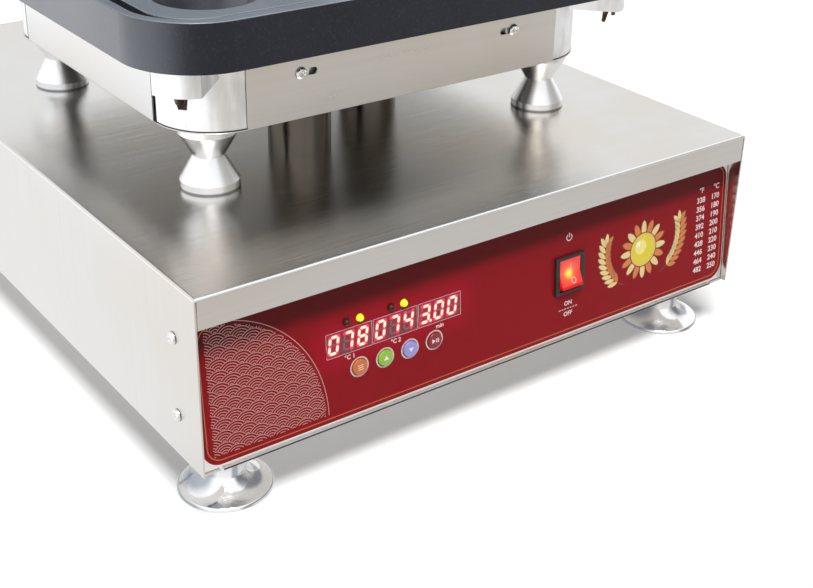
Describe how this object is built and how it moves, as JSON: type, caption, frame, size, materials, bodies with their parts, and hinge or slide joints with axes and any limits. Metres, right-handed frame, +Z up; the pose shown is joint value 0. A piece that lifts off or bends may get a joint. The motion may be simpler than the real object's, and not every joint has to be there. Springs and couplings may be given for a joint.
{
  "type": "tartlet maker",
  "caption": "Countertop tartlet maker: steel base box with controls, heated mould plate with round cups on turned posts, and a hinged heated plate with matching punches.",
  "frame": {"origin": "centre of the overall box's underside, which is the table the feet stand on", "axes": "+X to the right seen from the front, +Y to the rear, where the hinge is, +Z up"},
  "size_m": [0.4954, 0.6402, 0.7675],
  "materials": {
    "stainless": "brushed stainless sheet",
    "screw_steel": "zinc-plated or stainless fastener",
    "hinge_steel": "satin stainless",
    "dark_steel": "dark oxidised steel",
    "chrome": "polished chrome plating",
    "turned_aluminium": "fine turned",
    "cast_aluminium": "cast and ground",
    "black_coating": "black non-stick coating, satin",
    "element_steel": "heat-tinted steel sheath",
    "mineral_wool": "pressed mineral wool",
    "panel_film": "printed film",
    "display_plastic": "dark red window",
    "lamp_plastic": "clear green lamp",
    "orange_key": "smooth",
    "green_key": "smooth",
    "lavender_key": "smooth",
    "red_key": "smooth",
    "black_plastic": "moulded",
    "red_switch": "clear red",
    "board": "green board",
    "transformer_iron": "laminated core",
    "light_plastic": "moulded",
    "bakelite": "bakelite, satin",
    "bush_brass": "plain bearing"
  },
  "bodies": {
    "base": {"base_glands": "black_plastic", "base_hood": "stainless", "base_plate": "stainless", "board_spacers": "screw_steel", "case_screws": "screw_steel", "control_board": "board", "foot_bolts": "screw_steel", "foot_front_left": "chrome", "foot_front_right": "chrome", "foot_rear_left": "chrome", "foot_rear_right": "chrome", "front_panel": "stainless", "heater_relays": "black_plastic", "hinge_bracket_left": "hinge_steel", "hinge_bracket_right": "hinge_steel", "hinge_pin": "hinge_steel", "indicator_leds": "lamp_plastic", "lid_stops": "hinge_steel", "lower_element": "element_steel", "lower_heater_body": "cast_aluminium", "lower_insulation": "mineral_wool", "lower_mould_frame": "black_coating", "lower_mould_plate": "black_coating", "lower_sensor": "element_steel", "lower_tray": "stainless", "lower_tray_screws": "screw_steel", "panel_overlay": "panel_film", "plate_pins": "dark_steel", "post_bolts": "screw_steel", "post_front_left": "turned_aluminium", "post_front_right": "turned_aluminium", "post_rear_left": "turned_aluminium", "post_rear_right": "turned_aluminium", "rear_panel": "stainless", "switch_bezel": "black_plastic", "temperature_display_1": "display_plastic", "temperature_display_2": "display_plastic", "terminal_block": "light_plastic", "timer_display": "display_plastic", "transformer": "transformer_iron", "wiring_tube_front": "stainless", "wiring_tube_rear": "stainless"},
    "lid": {"upper_punch_plate": "black_coating", "upper_heater_body": "cast_aluminium", "upper_element": "element_steel", "upper_insulation": "mineral_wool", "upper_sensor": "element_steel", "upper_cover": "stainless", "upper_cover_screws": "screw_steel", "hinge_arm_left": "hinge_steel", "hinge_arm_right": "hinge_steel", "hinge_bushes": "bush_brass", "handle_bar": "hinge_steel", "handle_grip": "bakelite", "lid_gland": "black_plastic"},
    "button_set": {"button_set": "orange_key"},
    "button_up": {"button_up": "green_key"},
    "button_down": {"button_down": "lavender_key"},
    "button_start": {"button_start": "red_key"},
    "switch_rocker": {"switch_rocker": "red_switch"}
  },
  "joints": [
    {"name": "lid_hinge", "type": "hinge", "parent": "base", "child": "lid", "pos_m": [0, 0.17774, 0.30775], "axis": [1, 0, 0], "range_deg": [0, 100]},
    {"name": "rocker_tilt", "type": "hinge", "parent": "base", "child": "switch_rocker", "pos_m": [0.0699, -0.30808, 0.09407], "axis": [1, 0, 0], "range_deg": [0, 20]},
    {"name": "button_set_press", "type": "slide", "parent": "base", "child": "button_set", "axis": [0, 0.997, -0.0776], "range_m": [0, 0.001], "stiffness_N_per_m": 400},
    {"name": "button_up_press", "type": "slide", "parent": "base", "child": "button_up", "axis": [0, 0.997, -0.0776], "range_m": [0, 0.001], "stiffness_N_per_m": 400},
    {"name": "button_down_press", "type": "slide", "parent": "base", "child": "button_down", "axis": [0, 0.997, -0.0776], "range_m": [0, 0.001], "stiffness_N_per_m": 400},
    {"name": "button_start_press", "type": "slide", "parent": "base", "child": "button_start", "axis": [0, 0.997, -0.0776], "range_m": [0, 0.001], "stiffness_N_per_m": 400}
  ]
}
